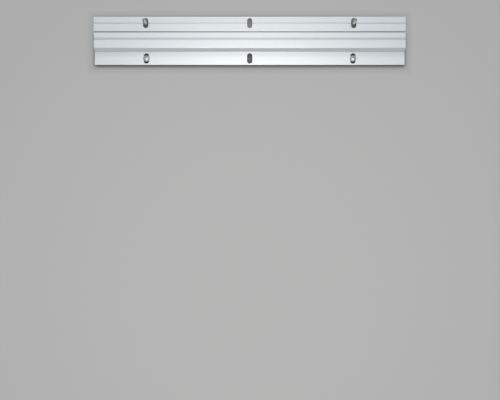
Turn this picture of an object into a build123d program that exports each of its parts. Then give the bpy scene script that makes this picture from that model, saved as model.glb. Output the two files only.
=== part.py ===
from build123d import *
import os

# A two-rail hanger for a mirror, in millimetres. The wall is the plane y = 0, the viewer stands
# at -Y, +X runs along the rails and +Z points up. The origin is on the wall, at the centre of the
# wall rail's middle slot. Both rails are cut from one extrusion. Across that extrusion, depth is
# measured out from the contact face and rise from the free edge of the flange.

# Extrusion
rail_length = 304.8
rail_rise = 31.06
flange_thickness = 2.0
flange_front_rise = 12.88
contact_face_rise = 14.14
hook_setback = 2.92
hook_thickness = 2.0
tip_chamfer = 1.04
edge_radius = 0.25
bend_radius = 0.5

# Drill guide groove on the contact face, at the height of the slots
guide_groove_width = 0.7
guide_groove_depth = 0.35

# Shallow groove along the outside of the hook, as far from the tip as the slots are from the edge
hook_groove_width = 2.25
hook_groove_floor_width = 1.5
hook_groove_depth = 0.4

# Slots
slot_count = 3
slot_pitch = 101.6
slot_width = 4.8
slot_height = 9.8
slot_rise = 6.43
slot_edge_break = 0.15

# The 45 degree chamfer of each hook tip seats on the other rail's slope, with this gap behind
hook_wall_gap = 0.2

# Pan head screws with a cross recess and a plain neck as long as the flange is thick
head_radius = 3.25
head_height = 2.3
head_rim_height = 0.7
neck_radius = 1.5
neck_length = flange_thickness
thread_radius = 1.75
tip_length = 3.5
tip_end_radius = 0.2
recess_width = 2.6
recess_floor_width = 0.9
recess_wing_thickness = 0.6
recess_depth = 1.1
wall_screw_length = 31.75
mirror_screw_length = 12.7

# Places of the second rail and the screws, from the sizes above
rail_depth = hook_setback + hook_thickness
stack_depth = rail_depth + hook_wall_gap
tip_land_depth = hook_setback + tip_chamfer
seat_rise = contact_face_rise + stack_depth - tip_land_depth
mirror_slot_z = rail_rise + seat_rise - 2 * slot_rise
screw_x = slot_pitch * (slot_count - 1) / 2


def section_point(depth, rise):
    return (-depth, rise - slot_rise)


def rail_outline():
    slope_top_rise = flange_front_rise + rail_depth - flange_thickness
    slope_foot_rise = contact_face_rise + hook_setback
    free_edge_back = section_point(0, 0)
    free_edge_front = section_point(flange_thickness, 0)
    front_hollow = section_point(flange_thickness, flange_front_rise)
    front_shoulder = section_point(rail_depth, slope_top_rise)
    tip_front = section_point(rail_depth, rail_rise)
    tip_land = section_point(tip_land_depth, rail_rise)
    tip_back = section_point(hook_setback, rail_rise - tip_chamfer)
    back_hollow = section_point(hook_setback, slope_foot_rise)
    contact_edge = section_point(0, contact_face_rise)
    outline = make_face(
        Polyline(
            free_edge_back,
            free_edge_front,
            front_hollow,
            front_shoulder,
            tip_front,
            tip_land,
            tip_back,
            back_hollow,
            contact_edge,
            close=True,
        )
    )
    for point in (front_hollow, front_shoulder, back_hollow):
        outline = rounded(outline, point, bend_radius)
    for point in (free_edge_back, free_edge_front, tip_front, contact_edge):
        outline = rounded(outline, point, edge_radius)
    return outline


def rounded(outline, point, radius):
    nearest = outline.vertices().sort_by_distance((*point, 0))[0]
    return fillet(nearest, radius)


def guide_groove():
    half_width = guide_groove_width / 2
    return make_face(
        Polyline(
            section_point(0, slot_rise - half_width),
            section_point(guide_groove_depth, slot_rise),
            section_point(0, slot_rise + half_width),
            close=True,
        )
    )


def hook_groove():
    middle_rise = rail_rise - slot_rise
    floor_depth = rail_depth - hook_groove_depth
    return make_face(
        Polyline(
            section_point(rail_depth, middle_rise - hook_groove_width / 2),
            section_point(floor_depth, middle_rise - hook_groove_floor_width / 2),
            section_point(floor_depth, middle_rise + hook_groove_floor_width / 2),
            section_point(rail_depth, middle_rise + hook_groove_width / 2),
            close=True,
        )
    )


def slot_cutter():
    opening = SlotOverall(slot_height, slot_width, rotation=90)
    mouth_height = slot_height + 2 * slot_edge_break
    mouth_width = slot_width + 2 * slot_edge_break
    mouth = SlotOverall(mouth_height, mouth_width, rotation=90)
    through = extrude(opening, flange_thickness)
    flare = extrude(mouth, slot_edge_break, taper=45)
    return Pos(0, -flange_thickness, 0) * Rot(-90, 0, 0) * (through + flare)


def rail():
    outline = rail_outline() - guide_groove() - hook_groove()
    body = extrude(Plane.YZ * outline, rail_length / 2, both=True)
    for place in GridLocations(slot_pitch, 0, slot_count, 1):
        body -= place * slot_cutter()
    return body


def screw(length):
    dome_rise = head_height - head_rim_height
    dome_radius = (head_radius**2 + dome_rise**2) / (2 * dome_rise)
    crown = (0, -head_height)
    rim_top = (head_radius, -head_rim_height)
    dome = RadiusArc(crown, rim_top, -dome_radius)
    sides = Polyline(
        rim_top,
        (head_radius, 0),
        (neck_radius, 0),
        (neck_radius, neck_length),
        (thread_radius, neck_length),
        (thread_radius, length - tip_length),
        (tip_end_radius, length),
        (0, length),
        crown,
    )
    half_section = make_face([dome, sides])
    return revolve(Plane.XZ * half_section, Axis.Z) - cross_recess()


def cross_recess():
    flare_per_depth = (recess_width - recess_floor_width) / recess_depth
    mouth_width = recess_floor_width + flare_per_depth * head_height
    floor_z = recess_depth - head_height
    mouth_z = floor_z - head_height
    wing = make_face(
        Polyline(
            (-recess_floor_width / 2, floor_z),
            (recess_floor_width / 2, floor_z),
            (mouth_width / 2, mouth_z),
            (-mouth_width / 2, mouth_z),
            close=True,
        )
    )
    blade = extrude(Plane.XZ * wing, recess_wing_thickness / 2, both=True)
    return blade + Rot(0, 0, 90) * blade


def wall_screw(x):
    return Pos(x, -flange_thickness, 0) * Rot(-90, 0, 0) * screw(wall_screw_length)


def mirror_screw(x):
    head_seat_y = flange_thickness - stack_depth
    return Pos(x, head_seat_y, mirror_slot_z) * Rot(90, 0, 0) * screw(mirror_screw_length)


def write(node, solid):
    export_step(solid, f"parts/{node}.step")


os.makedirs("parts", exist_ok=True)
cut_rail = rail()
write("wall_rail", cut_rail)
write("mirror_rail", Pos(0, -stack_depth, mirror_slot_z) * Rot(180, 0, 0) * cut_rail)
for side, x in (("left", -screw_x), ("right", screw_x)):
    write(f"wall_screw_{side}", wall_screw(x))
    write(f"mirror_screw_{side}", mirror_screw(x))
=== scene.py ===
import math

import bmesh
import bpy
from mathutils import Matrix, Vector


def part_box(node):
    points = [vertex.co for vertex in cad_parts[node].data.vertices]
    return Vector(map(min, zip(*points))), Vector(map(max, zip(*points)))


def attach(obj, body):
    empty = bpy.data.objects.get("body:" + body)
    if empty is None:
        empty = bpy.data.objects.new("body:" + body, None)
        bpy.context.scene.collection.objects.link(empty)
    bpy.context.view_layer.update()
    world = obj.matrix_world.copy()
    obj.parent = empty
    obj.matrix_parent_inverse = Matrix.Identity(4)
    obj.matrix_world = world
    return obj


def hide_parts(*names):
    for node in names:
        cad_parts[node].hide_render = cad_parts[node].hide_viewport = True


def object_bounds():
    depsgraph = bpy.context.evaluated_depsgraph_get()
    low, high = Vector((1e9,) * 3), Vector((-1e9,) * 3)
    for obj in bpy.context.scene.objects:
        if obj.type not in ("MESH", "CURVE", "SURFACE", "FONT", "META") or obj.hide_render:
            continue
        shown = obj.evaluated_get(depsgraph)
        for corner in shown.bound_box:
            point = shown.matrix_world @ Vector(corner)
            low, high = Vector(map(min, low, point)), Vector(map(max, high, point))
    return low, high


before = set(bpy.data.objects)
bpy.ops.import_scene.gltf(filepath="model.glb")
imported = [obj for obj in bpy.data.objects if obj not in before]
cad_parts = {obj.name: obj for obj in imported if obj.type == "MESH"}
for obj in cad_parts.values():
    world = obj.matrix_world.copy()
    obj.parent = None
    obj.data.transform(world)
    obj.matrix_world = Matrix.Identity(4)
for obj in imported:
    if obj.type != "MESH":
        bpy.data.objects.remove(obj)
cad_low, cad_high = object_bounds()
MM = 0.001

# Camera: straight at the wall from below the rails, as the perspective of the rail ends says
FRONT_FACE_DISTANCE = 0.429
VIEW_WIDTH_AT_FRONT_FACE = 0.4885
CAMERA_X = 0.0003
CAMERA_Z = -0.1393
SENSOR_WIDTH = 36.0
CLIP_START = 0.01

# Stage: a wall just behind the wall rail and a floor below the view
WALL_GAP = 0.3 * MM
STAGE_HALF_WIDTH = 3.0
STAGE_DEPTH = 3.0
STAGE_HEIGHT = 3.0
FLOOR_Z = -0.9
PALE_WALL = (0.54, 0.54, 0.535)
PALE_FLOOR = (0.85, 0.85, 0.845)
FLOOR_GLOW = 0.42
STAGE_ROUGHNESS = 0.9
STAGE_SPECULAR = 0.1

# Shade on the stage: close to a piece, behind the rails, and softly round their outline
FULL_SHADE = (0.02, 0.02, 0.02)
SHADE_REACH = 4 * MM
SHADE_DEPTH = 1.7
SHADE_SAMPLES = 16
LIGHT_BEHIND_RAILS = 0.55
BEHIND_INSET = 0.7 * MM
LIGHT_BESIDE_RAILS = 0.80
BESIDE_REACH = 9 * MM

# Room: its brightness by height, from 0, straight down, to 1, straight up, and the even brightness
# of the backdrop that the camera sees
ROOM_COLOUR = (0.93, 0.972, 1.0, 1)
ROOM_FLOOR = 0.47
ROOM_LOW = 0.28
ROOM_FRONT = 0.675
ROOM_TOP = 0.20
ROOM_LEVELS = (
    (0.00, ROOM_FLOOR),
    (0.10, ROOM_FLOOR),
    (0.20, ROOM_LOW),
    (0.44, ROOM_LOW),
    (0.58, ROOM_FRONT),
    (0.75, ROOM_FRONT),
    (0.90, ROOM_TOP),
    (1.00, ROOM_TOP),
)
BACKDROP_LEVEL = 0.8

# Lamps: place and width in metres, power in watts
LAMP_COLOUR = (1.0, 0.975, 0.94)
FRONT_LAMP_PLACE = (0, -1.0, -0.05)
FRONT_LAMP_WIDTH = 0.6
FRONT_LAMP_POWER = 2.25
LOW_LAMP_PLACE = (0, -0.9, -0.44)
LOW_LAMP_WIDTH = 0.3
LOW_LAMP_POWER = 2.3
BACK_LAMP_PLACE = (0.35, 0.9, 0.9)
BACK_LAMP_WIDTH = 0.8
BACK_LAMP_POWER = 5.0

# Rails: one section, which the mirror rail carries upside down and back to front
SLOT_PITCH = 101.6 * MM
SLOT_RISE = 6.43 * MM
SLOT_HALF_WIDTH = 2.4 * MM
SLOT_HALF_HEIGHT = 4.9 * MM
FLANGE_THICKNESS = 2.0 * MM
BEND_RADIUS = 0.5 * MM
GUIDE_GROOVE_HALF_WIDTH = 0.35 * MM
GUIDE_GROOVE_DEPTH = 0.35 * MM
HOOK_GROOVE_HALF_WIDTH = 1.125 * MM
HOOK_GROOVE_DEPTH = 0.4 * MM

# Where the rails' tints lie, by place and by how far a surface faces along one axis
SLOT_MARGIN = 0.17 * MM
GROOVE_MARGIN = 0.1 * MM
FLANGE_SHADE_START = 0.3 * MM
FLANGE_SHADE_END = 6.6 * MM
CUT_END = 0.999
SLOT_WALL = 0.8
BEND_MIDDLE = -0.335
BEND_HALF_RANGE = 0.305
MIRROR_RAIL_UNDERSIDE = -0.6
WALL_RAIL_UNDERSIDE = -0.76

# Rails' tints
LINES_DARK = (0.84, 0.866, 0.892)
LINES_LIGHT = (0.86, 0.884, 0.907)
CLOUD_TINT = (0.85, 0.865, 0.88)
CLOUD_SHARE = 0.35
SAWN_DARK = (0.76, 0.765, 0.77)
SAWN_LIGHT = (0.90, 0.905, 0.91)
# Painted shade on the wall rail's flange towards its corner with the slope, and on the bends beside
# it
CORNER_PAINTED_SHADE = (0.68, 0.70, 0.72)
BEND_PAINTED_SHADE = (0.64, 0.66, 0.68)
# Painted shade in the grooves
GROOVE_PAINTED_SHADE = (0.68, 0.71, 0.73)
# Painted shade on the slots' walls
SLOT_WALL_PAINTED_SHADE = (0.07, 0.07, 0.07)
# Painted shade on faces turned downwards: the mirror rail's seat and the wall rail's underside
MIRROR_RAIL_UNDERSIDE_SHADE = (0.51, 0.53, 0.55)
WALL_RAIL_UNDERSIDE_SHADE = (0.22, 0.225, 0.23)

# Rails' patterns: how closely each repeats along x, y and z, with the relief and gloss of the lines
WIDE_LINES = (0.2, 500, 500)
FINE_LINES = (1.5, 2600, 2600)
CLOUDS = (14, 40, 40)
SAW_MARKS = (1, 160, 3400)
LINE_DEPTH = 0.001 * MM
RAIL_ROUGHNESS = (0.36, 0.46)

# Screws, along an axis that starts under the head and runs to the point
WALL_SCREW_LENGTH = 31.75 * MM
MIRROR_SCREW_LENGTH = 12.7 * MM
HEAD_RADIUS = 3.25 * MM
HEAD_HEIGHT = 2.3 * MM
HEAD_RIM_HEIGHT = 0.7 * MM
HEAD_ROUNDING = 0.12 * MM
NECK_RADIUS = 1.5 * MM
NECK_LENGTH = 2.0 * MM
THREAD_RADIUS = 1.75 * MM
ROOT_RADIUS = 1.28 * MM
THREAD_PITCH = 1.27 * MM
TIP_LENGTH = 3.5 * MM
TIP_END_RADIUS = 0.08 * MM
RECESS_HALF_WIDTH = 1.3 * MM
RECESS_FLOOR_HALF_WIDTH = 0.45 * MM
RECESS_HALF_THICKNESS = 0.3 * MM
RECESS_DEPTH = 1.1 * MM
RECESS_WALL_LEAN = 0.1 * MM

# Thread ridge, in shares of the pitch
RIDGE_HALF_WIDTH = 0.25
FLANK_WIDTH = 0.22

# Which way a screw's point faces along y
INTO_WALL, TO_VIEWER = 1, -1

# Fineness of the screw meshes
AROUND = 96
HEAD_RINGS = 60
ROUNDING_STEPS = 4
ROWS_PER_TURN = 16
MERGE_DISTANCE = 1e-8
SHARP_ANGLE = math.radians(45)

# A screw has a bright head, a rougher recess with painted shade, and painted shade on its underside
# and its thread
BRIGHT, RECESSED, UNDER_HEAD_SHADE, THREADED = 0, 1, 2, 3

# Screws' finishes: darker tint, lighter tint and roughness
BRIGHT_ZINC = ((0.66, 0.67, 0.685), (0.74, 0.745, 0.74), 0.45)
# Painted shade in the recess, which is also rougher
RECESS_SHADE_ZINC = ((0.52, 0.525, 0.53), (0.60, 0.605, 0.60), 0.55)
# Painted shade under the head
UNDER_HEAD_SHADE_ZINC = ((0.10, 0.10, 0.105), (0.16, 0.16, 0.155), 0.55)
# Painted shade on the thread
THREAD_SHADE_ZINC = ((0.49, 0.495, 0.505), (0.55, 0.555, 0.55), 0.45)
ROUGHNESS_VARIATION = 0.05
BLOTCH_SCALE = 900
GRAIN_SCALE = 9000
GRAIN_DEPTH = 0.003 * MM

# The upper edge of a wall screw's head lies in shade, by how far its surface faces up
SHADED_EDGE_TINT = (0.15, 0.152, 0.155)
SHADED_EDGE_START = 0.44
SHADED_EDGE_FULL = 0.60

# Stretches of a noise pattern's values that are spread over a pair of tints or other values
NARROW = (0.35, 0.65)
WIDE = (0.3, 0.7)


# Screws


def add_screws():
    bright_zinc = screw_finish("bright_zinc", *BRIGHT_ZINC)
    shaded_zinc = screw_finish("shaded_zinc", *BRIGHT_ZINC, shaded=True)
    recess_shade_zinc = screw_finish("recess_shade_zinc", *RECESS_SHADE_ZINC)
    under_head_shade_zinc = screw_finish("under_head_shade_zinc", *UNDER_HEAD_SHADE_ZINC)
    thread_shade_zinc = screw_finish("thread_shade_zinc", *THREAD_SHADE_ZINC)
    wall_zincs = (shaded_zinc, recess_shade_zinc, under_head_shade_zinc, thread_shade_zinc)
    mirror_zincs = (bright_zinc, recess_shade_zinc, under_head_shade_zinc, thread_shade_zinc)
    for side in ("left", "right"):
        add_screw(f"wall_screw_{side}", INTO_WALL, WALL_SCREW_LENGTH, wall_zincs)
        add_screw(f"mirror_screw_{side}", TO_VIEWER, MIRROR_SCREW_LENGTH, mirror_zincs)


def add_screw(node, heading, length, materials):
    low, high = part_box(node)
    point_y = high.y if heading == INTO_WALL else low.y
    seat = Vector(((low.x + high.x) / 2, point_y - heading * length, (low.z + high.z) / 2))
    bm = bmesh.new()
    head_edge = add_head(bm)
    thread_start, thread_end = add_thread(bm, length)
    join_rings(bm, head_edge, thread_start)
    add_cap(bm, thread_end, length, THREADED)
    bmesh.ops.remove_doubles(bm, verts=bm.verts, dist=MERGE_DISTANCE)
    bmesh.ops.recalc_face_normals(bm, faces=bm.faces)
    for vertex in bm.verts:
        across, up, along = vertex.co
        vertex.co = seat + Vector((across, heading * along, -heading * up))
    mesh = bpy.data.meshes.new(f"threaded_{node}")
    bm.to_mesh(mesh)
    bm.free()
    mesh.polygons.foreach_set("use_smooth", [True] * len(mesh.polygons))
    mesh.set_sharp_from_angle(angle=SHARP_ANGLE)
    piece = bpy.data.objects.new(f"threaded_{node}", mesh)
    bpy.context.scene.collection.objects.link(piece)
    for material in materials:
        mesh.materials.append(material)
    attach(piece, "root")
    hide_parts(node)


def ring_point(step, radius, along):
    angle = 2 * math.pi * step / AROUND
    return (radius * math.cos(angle), radius * math.sin(angle), along)


def add_ring(bm, radius, along):
    return [bm.verts.new(ring_point(step, radius, along)) for step in range(AROUND)]


def join_rings(bm, one, other, material_index=BRIGHT):
    for step in range(AROUND):
        after = (step + 1) % AROUND
        face = bm.faces.new((one[step], one[after], other[after], other[step]))
        face.material_index = material_index


def add_cap(bm, ring, along, material_index=BRIGHT):
    centre = bm.verts.new((0, 0, along))
    for step in range(AROUND):
        face = bm.faces.new((centre, ring[step], ring[(step + 1) % AROUND]))
        face.material_index = material_index


def add_head(bm):
    inner = add_dome(bm)
    for radius, along in head_outline():
        outer = add_ring(bm, radius, along)
        # The underside of the head gets painted shade
        underneath = radius <= NECK_RADIUS + HEAD_ROUNDING
        join_rings(bm, inner, outer, UNDER_HEAD_SHADE if underneath else BRIGHT)
        inner = outer
    return inner


def add_dome(bm):
    dome_end = HEAD_RADIUS - HEAD_ROUNDING
    inner = None
    for count in range(1, HEAD_RINGS + 1):
        outer = add_ring(bm, dome_end * count / HEAD_RINGS, 0)
        for vertex in outer:
            vertex.co.z = -head_surface(vertex.co.x, vertex.co.y)
        if inner is None:
            add_cap(bm, outer, -head_surface(0, 0))
        else:
            join_rings(bm, inner, outer)
        inner = outer
    # The recess gets painted shade
    for face in bm.faces:
        x, y, _ = face.calc_center_median()
        face.material_index = RECESSED if in_recess(x, y) else BRIGHT
    return inner


def head_outline():
    dome_end = HEAD_RADIUS - HEAD_ROUNDING
    dome_edge = (dome_end, -head_surface(dome_end, 0))
    rim_top = (HEAD_RADIUS, -HEAD_RIM_HEIGHT)
    side_top = (HEAD_RADIUS, HEAD_ROUNDING - HEAD_RIM_HEIGHT)
    side_foot = (HEAD_RADIUS, -HEAD_ROUNDING)
    under_edge = (HEAD_RADIUS - HEAD_ROUNDING, 0)
    root_edge = (NECK_RADIUS + HEAD_ROUNDING, 0)
    neck_top = (NECK_RADIUS, HEAD_ROUNDING)
    outline = rounded_corner(dome_edge, rim_top, side_top)
    outline += [side_foot]
    outline += rounded_corner(side_foot, (HEAD_RADIUS, 0), under_edge)
    outline += [root_edge]
    outline += rounded_corner(root_edge, (NECK_RADIUS, 0), neck_top)
    return outline


def rounded_corner(start, corner, end):
    points = []
    for step in range(1, ROUNDING_STEPS + 1):
        t = step / ROUNDING_STEPS
        near, middle, far = (1 - t) ** 2, 2 * t * (1 - t), t * t
        radius = near * start[0] + middle * corner[0] + far * end[0]
        along = near * start[1] + middle * corner[1] + far * end[1]
        points.append((radius, along))
    return points


def dome_height(x, y):
    dome_rise = HEAD_HEIGHT - HEAD_RIM_HEIGHT
    dome_radius = (HEAD_RADIUS**2 + dome_rise**2) / (2 * dome_rise)
    return HEAD_HEIGHT - dome_radius + math.sqrt(dome_radius**2 - x * x - y * y)


def recess_height(x, y):
    return HEAD_HEIGHT - max(wing_depth(x, y), wing_depth(y, x))


def in_recess(x, y):
    return recess_height(x, y) < dome_height(x, y)


def head_surface(x, y):
    return min(dome_height(x, y), recess_height(x, y))


def wing_depth(along, across):
    flare = RECESS_HALF_WIDTH - RECESS_FLOOR_HALF_WIDTH
    end_share = (RECESS_HALF_WIDTH - abs(along)) / flare
    side_share = (RECESS_HALF_THICKNESS - abs(across)) / RECESS_WALL_LEAN
    return RECESS_DEPTH * max(0, min(end_share, side_share, 1))


def blend(low_value, high_value, share):
    share = min(max(share, 0), 1)
    return low_value + (high_value - low_value) * share


def thread_radius(along, turn, length):
    run_in = (along - NECK_LENGTH) / THREAD_PITCH
    taper = (along - length + TIP_LENGTH) / TIP_LENGTH
    core = blend(NECK_RADIUS, ROOT_RADIUS, run_in)
    crest = blend(NECK_RADIUS, THREAD_RADIUS, run_in)
    core = blend(core, TIP_END_RADIUS, taper)
    crest = blend(crest, TIP_END_RADIUS, taper)
    off_crest = abs(turn - math.floor(turn) - 0.5)
    return blend(core, crest, (RIDGE_HALF_WIDTH - off_crest) / FLANK_WIDTH)


def add_thread(bm, length):
    columns = [add_thread_column(bm, step, length) for step in range(AROUND)]
    last = len(columns[0]) - 1
    for step in range(AROUND):
        # The last column meets the first one a turn further up
        wraps = step == AROUND - 1
        here = columns[step]
        there = columns[0] if wraps else columns[step + 1]
        shift = ROWS_PER_TURN if wraps else 0
        for row in range(last):
            low_row = min(row + shift, last)
            high_row = min(row + 1 + shift, last)
            corners = (here[row], there[low_row], there[high_row], here[row + 1])
            if low_row == high_row:
                corners = (here[row], there[low_row], here[row + 1])
            # The thread's faces get painted shade
            face = bm.faces.new(corners)
            face.material_index = THREADED
    return [column[0] for column in columns], [column[-1] for column in columns]


def add_thread_column(bm, step, length):
    # Each row climbs one pitch in a turn, so the crests lie along the mesh lines
    row_rise = THREAD_PITCH / ROWS_PER_TURN
    rows = math.ceil((length - NECK_LENGTH) / row_rise) + ROWS_PER_TURN + 1
    lead = step / AROUND
    column = []
    for row in range(rows):
        along = NECK_LENGTH + (row - ROWS_PER_TURN) * row_rise + lead * THREAD_PITCH
        along = min(max(along, NECK_LENGTH), length)
        turn = (along - NECK_LENGTH) / THREAD_PITCH - lead
        column.append(bm.verts.new(ring_point(step, thread_radius(along, turn, length), along)))
    return column


# Materials


class Finish:
    def __init__(self, name):
        self.material = bpy.data.materials.new(name)
        self.material.use_nodes = True
        self.tree = self.material.node_tree
        self.shader = self.tree.nodes["Principled BSDF"]

    def node(self, kind, **settings):
        made = self.tree.nodes.new(kind)
        for key, value in settings.items():
            setattr(made, key, value)
        return made

    def link(self, source, target):
        self.tree.links.new(source, target)

    def place(self):
        return self.node("ShaderNodeTexCoord").outputs["Object"]

    def facing(self):
        return self.axes(self.node("ShaderNodeNewGeometry").outputs["Normal"])

    def axes(self, vector):
        made = self.node("ShaderNodeSeparateXYZ")
        self.link(vector, made.inputs[0])
        return made.outputs

    def stretched(self, vector, scale):
        mapping = self.node("ShaderNodeMapping")
        mapping.inputs["Scale"].default_value = scale
        self.link(vector, mapping.inputs["Vector"])
        return mapping.outputs["Vector"]

    def noise(self, vector, scale=1.0, detail=2.0):
        made = self.node("ShaderNodeTexNoise")
        made.inputs["Scale"].default_value = scale
        made.inputs["Detail"].default_value = detail
        self.link(vector, made.inputs["Vector"])
        return made.outputs["Fac"]

    def calculate(self, operation, one, other=None):
        made = self.node("ShaderNodeMath", operation=operation)
        for socket, value in zip(made.inputs, (one, other)):
            if isinstance(value, (int, float)):
                socket.default_value = value
            elif value is not None:
                self.link(value, socket)
        return made.outputs[0]

    def size(self, value):
        return self.calculate("ABSOLUTE", value)

    def minus(self, one, other):
        return self.calculate("SUBTRACT", one, other)

    def times(self, one, other):
        return self.calculate("MULTIPLY", one, other)

    def is_under(self, value, limit):
        return self.calculate("LESS_THAN", value, limit)

    def is_over(self, value, limit):
        return self.calculate("GREATER_THAN", value, limit)

    def is_near(self, value, middle, half_width):
        return self.is_under(self.size(self.minus(value, middle)), half_width)

    def spread(self, value, low, high, to_low=0.0, to_high=1.0):
        made = self.node("ShaderNodeMapRange")
        made.inputs["From Min"].default_value = low
        made.inputs["From Max"].default_value = high
        made.inputs["To Min"].default_value = to_low
        made.inputs["To Max"].default_value = to_high
        self.link(value, made.inputs["Value"])
        return made.outputs["Result"]

    def mix(self, share, one, other):
        made = self.node("ShaderNodeMix", data_type="RGBA")
        self.link(share, made.inputs["Factor"])
        for name, value in (("A", one), ("B", other)):
            socket = next(s for s in made.inputs if s.name == name and s.type == "RGBA")
            if isinstance(value, tuple):
                socket.default_value = (*value, 1)
            else:
                self.link(value, socket)
        return next(s for s in made.outputs if s.type == "RGBA")

    def bump(self, height, distance, under=None):
        made = self.node("ShaderNodeBump")
        made.inputs["Strength"].default_value = 1.0
        made.inputs["Distance"].default_value = distance
        self.link(height, made.inputs["Height"])
        if under is not None:
            self.link(under, made.inputs["Normal"])
        return made.outputs["Normal"]


def dress(piece, material):
    piece.data.materials.clear()
    piece.data.materials.append(material)


def dress_rails():
    for rail in ("wall_rail", "mirror_rail"):
        dress(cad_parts[rail], rail_finish(rail))


def rail_finish(rail):
    low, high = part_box(rail)
    slot_z = high.z - SLOT_RISE if rail == "mirror_rail" else low.z + SLOT_RISE
    finish = Finish(f"satin_aluminium_{rail}")
    place = finish.place()
    where = finish.axes(place)
    facing = finish.facing()
    wide_lines = finish.noise(finish.stretched(place, WIDE_LINES), detail=3)
    fine_lines = finish.noise(finish.stretched(place, FINE_LINES), detail=2)
    tint = drawn_tint(finish, place, wide_lines)
    cut_end = finish.is_over(finish.size(facing["X"]), CUT_END)
    tint = finish.mix(cut_end, tint, sawn_tint(finish, place))
    # The mirror rail shows its guide groove in front and the wall rail its hook groove
    if rail == "mirror_rail":
        groove_half_width = GUIDE_GROOVE_HALF_WIDTH
        groove_depth = GUIDE_GROOVE_DEPTH
        underside = finish.is_under(facing["Z"], MIRROR_RAIL_UNDERSIDE)
        painted_underside_shade = MIRROR_RAIL_UNDERSIDE_SHADE
    else:
        tint = shaded_flange(finish, tint, where, facing, slot_z)
        groove_half_width = HOOK_GROOVE_HALF_WIDTH
        groove_depth = HOOK_GROOVE_DEPTH
        underside = finish.is_under(facing["Z"], WALL_RAIL_UNDERSIDE)
        painted_underside_shade = WALL_RAIL_UNDERSIDE_SHADE
    # Painted shade: the groove in front is tinted darker
    groove_level = finish.is_near(where["Z"], high.z - SLOT_RISE, groove_half_width)
    in_front = finish.is_under(where["Y"], low.y + groove_depth + GROOVE_MARGIN)
    tint = finish.mix(finish.times(groove_level, in_front), tint, GROOVE_PAINTED_SHADE)
    # Painted shade on faces turned downwards
    tint = finish.mix(underside, tint, painted_underside_shade)
    # Painted shade on the slots' walls
    tint = finish.mix(slot_walls(finish, where, facing, slot_z), tint, SLOT_WALL_PAINTED_SHADE)
    finish.link(tint, finish.shader.inputs["Base Color"])
    roughness = finish.spread(fine_lines, *WIDE, *RAIL_ROUGHNESS)
    finish.link(roughness, finish.shader.inputs["Roughness"])
    finish.shader.inputs["Metallic"].default_value = 1.0
    relief = finish.bump(wide_lines, LINE_DEPTH)
    relief = finish.bump(fine_lines, LINE_DEPTH, under=relief)
    finish.link(relief, finish.shader.inputs["Normal"])
    return finish.material


def drawn_tint(finish, place, lines):
    clouds = finish.noise(finish.stretched(place, CLOUDS), detail=4)
    tint = finish.mix(finish.spread(lines, *NARROW), LINES_DARK, LINES_LIGHT)
    return finish.mix(finish.spread(clouds, *WIDE, 0, CLOUD_SHARE), tint, CLOUD_TINT)


def sawn_tint(finish, place):
    marks = finish.noise(finish.stretched(place, SAW_MARKS), detail=2)
    return finish.mix(finish.spread(marks, *NARROW), SAWN_DARK, SAWN_LIGHT)


def shaded_flange(finish, tint, where, facing, slot_z):
    # Painted shade: the wall rail's flange darkens towards its corner with the slope, and the bends
    # beside the slope are darkened
    shade_start = slot_z + FLANGE_SHADE_START
    shade_end = slot_z + FLANGE_SHADE_END
    corner = finish.spread(where["Z"], shade_start, shade_end)
    on_flange = finish.is_over(where["Y"], -FLANGE_THICKNESS - BEND_RADIUS)
    tint = finish.mix(finish.times(corner, on_flange), tint, CORNER_PAINTED_SHADE)
    bend = finish.is_near(facing["Z"], BEND_MIDDLE, BEND_HALF_RANGE)
    return finish.mix(bend, tint, BEND_PAINTED_SHADE)


def slot_walls(finish, where, facing, slot_z):
    across = finish.calculate("DIVIDE", where["X"], SLOT_PITCH)
    off_slot = finish.size(finish.minus(across, finish.calculate("ROUND", across)))
    beside = finish.is_under(off_slot, (SLOT_HALF_WIDTH + SLOT_MARGIN) / SLOT_PITCH)
    level = finish.is_near(where["Z"], slot_z, SLOT_HALF_HEIGHT + SLOT_MARGIN)
    edge_on = finish.is_under(finish.size(facing["Y"]), SLOT_WALL)
    return finish.times(finish.times(beside, level), edge_on)


def screw_finish(name, dark_tint, light_tint, roughness, shaded=False):
    finish = Finish(name)
    place = finish.place()
    blotches = finish.noise(place, scale=BLOTCH_SCALE, detail=3)
    grain = finish.noise(place, scale=GRAIN_SCALE, detail=2)
    tint = finish.mix(finish.spread(blotches, *NARROW), dark_tint, light_tint)
    if shaded:
        upward = finish.spread(finish.facing()["Z"], SHADED_EDGE_START, SHADED_EDGE_FULL)
        tint = finish.mix(upward, tint, SHADED_EDGE_TINT)
    finish.link(tint, finish.shader.inputs["Base Color"])
    smoothest = roughness - ROUGHNESS_VARIATION
    roughest = roughness + ROUGHNESS_VARIATION
    varied = finish.spread(grain, *WIDE, smoothest, roughest)
    finish.link(varied, finish.shader.inputs["Roughness"])
    finish.shader.inputs["Metallic"].default_value = 1.0
    finish.link(finish.bump(grain, GRAIN_DEPTH), finish.shader.inputs["Normal"])
    return finish.material


def stage_finish(name, colour, glow=0.0):
    finish = Finish(name)
    near = finish.node("ShaderNodeAmbientOcclusion", samples=SHADE_SAMPLES)
    near.inputs["Distance"].default_value = SHADE_REACH
    light_share = finish.calculate("POWER", near.outputs["AO"], SHADE_DEPTH)
    light_share = finish.times(light_share, light_round_rails(finish))
    tint = finish.mix(light_share, FULL_SHADE, colour)
    finish.link(tint, finish.shader.inputs["Base Color"])
    finish.shader.inputs["Roughness"].default_value = STAGE_ROUGHNESS
    finish.shader.inputs["Specular IOR Level"].default_value = STAGE_SPECULAR
    if glow:
        seen = finish.node("ShaderNodeLightPath").outputs["Is Camera Ray"]
        finish.link(tint, finish.shader.inputs["Emission Color"])
        finish.link(finish.times(seen, glow), finish.shader.inputs["Emission Strength"])
    clear_from_behind(finish)
    return finish.material


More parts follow.
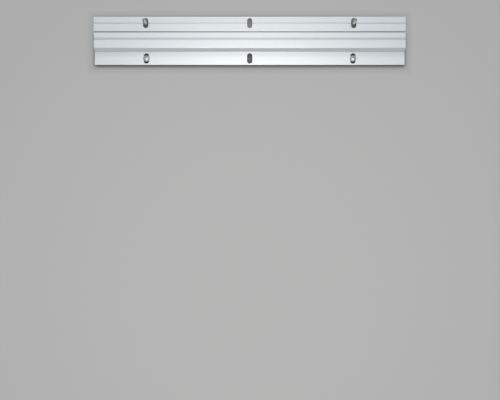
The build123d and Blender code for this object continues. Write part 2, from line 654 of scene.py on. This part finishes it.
def light_round_rails(finish):
    where = finish.axes(finish.place())
    middle_z = (cad_low.z + cad_high.z) / 2
    half_height = (cad_high.z - cad_low.z) / 2
    past_ends = finish.minus(finish.size(where["X"]), cad_high.x)
    past_edges = finish.minus(finish.size(finish.minus(where["Z"], middle_z)), half_height)
    past_outline = finish.calculate("MAXIMUM", past_ends, past_edges)
    behind = finish.is_under(past_outline, -BEHIND_INSET)
    light_behind = finish.spread(behind, 0, 1, 1, LIGHT_BEHIND_RAILS)
    light_beside = finish.spread(past_outline, 0, BESIDE_REACH, LIGHT_BESIDE_RAILS, 1)
    return finish.calculate("MINIMUM", light_behind, light_beside)


def clear_from_behind(finish):
    # The stage never stands between the camera and the rails
    clear = finish.node("ShaderNodeBsdfTransparent")
    either = finish.node("ShaderNodeMixShader")
    backfacing = finish.node("ShaderNodeNewGeometry").outputs["Backfacing"]
    surface = finish.tree.nodes["Material Output"].inputs["Surface"]
    finish.link(backfacing, either.inputs["Fac"])
    finish.link(finish.shader.outputs["BSDF"], either.inputs[1])
    finish.link(clear.outputs["BSDF"], either.inputs[2])
    finish.link(either.outputs["Shader"], surface)


# Stage, light and camera


def add_stage():
    left = -STAGE_HALF_WIDTH
    right = STAGE_HALF_WIDTH
    front = -STAGE_DEPTH
    back = WALL_GAP
    bottom = FLOOR_Z
    top = FLOOR_Z + STAGE_HEIGHT
    wall_corners = [
        (left, back, bottom),
        (right, back, bottom),
        (right, back, top),
        (left, back, top),
    ]
    floor_corners = [
        (left, back, bottom),
        (left, front, bottom),
        (right, front, bottom),
        (right, back, bottom),
    ]
    add_plane("wall", wall_corners, stage_finish("pale_wall", PALE_WALL))
    add_plane("floor", floor_corners, stage_finish("pale_floor", PALE_FLOOR, FLOOR_GLOW))


def add_plane(name, corners, material):
    mesh = bpy.data.meshes.new(name)
    mesh.from_pydata(corners, [], [(0, 1, 2, 3)])
    plane = bpy.data.objects.new(name, mesh)
    bpy.context.scene.collection.objects.link(plane)
    dress(plane, material)
    # The wall screws reach behind the wall, so the stage is only seen and casts nothing
    plane.visible_diffuse = False
    plane.visible_glossy = False
    plane.visible_transmission = False
    plane.visible_shadow = False


def add_light():
    add_room()
    add_lamp("lamp_in_front", FRONT_LAMP_PLACE, FRONT_LAMP_WIDTH, FRONT_LAMP_POWER)
    add_lamp("lamp_low", LOW_LAMP_PLACE, LOW_LAMP_WIDTH, LOW_LAMP_POWER)
    add_lamp("lamp_behind", BACK_LAMP_PLACE, BACK_LAMP_WIDTH, BACK_LAMP_POWER)


def add_room():
    world = bpy.data.worlds.new("soft_room")
    world.use_nodes = True
    tree = world.node_tree
    background = tree.nodes["Background"]
    direction = tree.nodes.new("ShaderNodeTexCoord")
    axes = tree.nodes.new("ShaderNodeSeparateXYZ")
    height = tree.nodes.new("ShaderNodeMapRange")
    height.inputs["From Min"].default_value = -1
    levels = tree.nodes.new("ShaderNodeFloatCurve")
    curve = levels.mapping.curves[0]
    curve.points[0].location = ROOM_LEVELS[0]
    curve.points[1].location = ROOM_LEVELS[-1]
    for level in ROOM_LEVELS[1:-1]:
        curve.points.new(*level)
    for point in curve.points:
        point.handle_type = "VECTOR"
    levels.mapping.update()
    seen = tree.nodes.new("ShaderNodeLightPath")
    either = tree.nodes.new("ShaderNodeMix")
    tree.links.new(direction.outputs["Generated"], axes.inputs[0])
    tree.links.new(axes.outputs["Z"], height.inputs["Value"])
    tree.links.new(height.outputs["Result"], levels.inputs["Value"])
    tree.links.new(seen.outputs["Is Camera Ray"], either.inputs["Factor"])
    tree.links.new(levels.outputs["Value"], either.inputs["A"])
    either.inputs["B"].default_value = BACKDROP_LEVEL
    tree.links.new(either.outputs["Result"], background.inputs["Strength"])
    background.inputs["Color"].default_value = ROOM_COLOUR
    bpy.context.scene.world = world


def add_lamp(name, place, width, power):
    light = bpy.data.lights.new(name, "AREA")
    light.shape = "DISK"
    light.size = width
    light.energy = power
    light.color = LAMP_COLOUR
    lamp = bpy.data.objects.new(name, light)
    lamp.location = place
    middle = Vector(((cad_low.x + cad_high.x) / 2, 0, (cad_low.z + cad_high.z) / 2))
    lamp.rotation_euler = (middle - Vector(place)).to_track_quat("-Z", "Y").to_euler()
    lamp.visible_camera = False
    bpy.context.scene.collection.objects.link(lamp)


def add_camera():
    data = bpy.data.cameras.new("camera")
    data.sensor_width = SENSOR_WIDTH
    data.lens = SENSOR_WIDTH * FRONT_FACE_DISTANCE / VIEW_WIDTH_AT_FRONT_FACE
    data.clip_start = CLIP_START
    camera = bpy.data.objects.new("camera", data)
    front_face_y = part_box("mirror_rail")[0].y
    camera.location = (CAMERA_X, front_face_y - FRONT_FACE_DISTANCE, CAMERA_Z)
    camera.rotation_euler = (math.radians(90), 0, 0)
    bpy.context.scene.collection.objects.link(camera)
    bpy.context.scene.camera = camera


dress_rails()
add_screws()
add_stage()
add_light()
add_camera()
bpy.context.scene.view_settings.view_transform = "Standard"
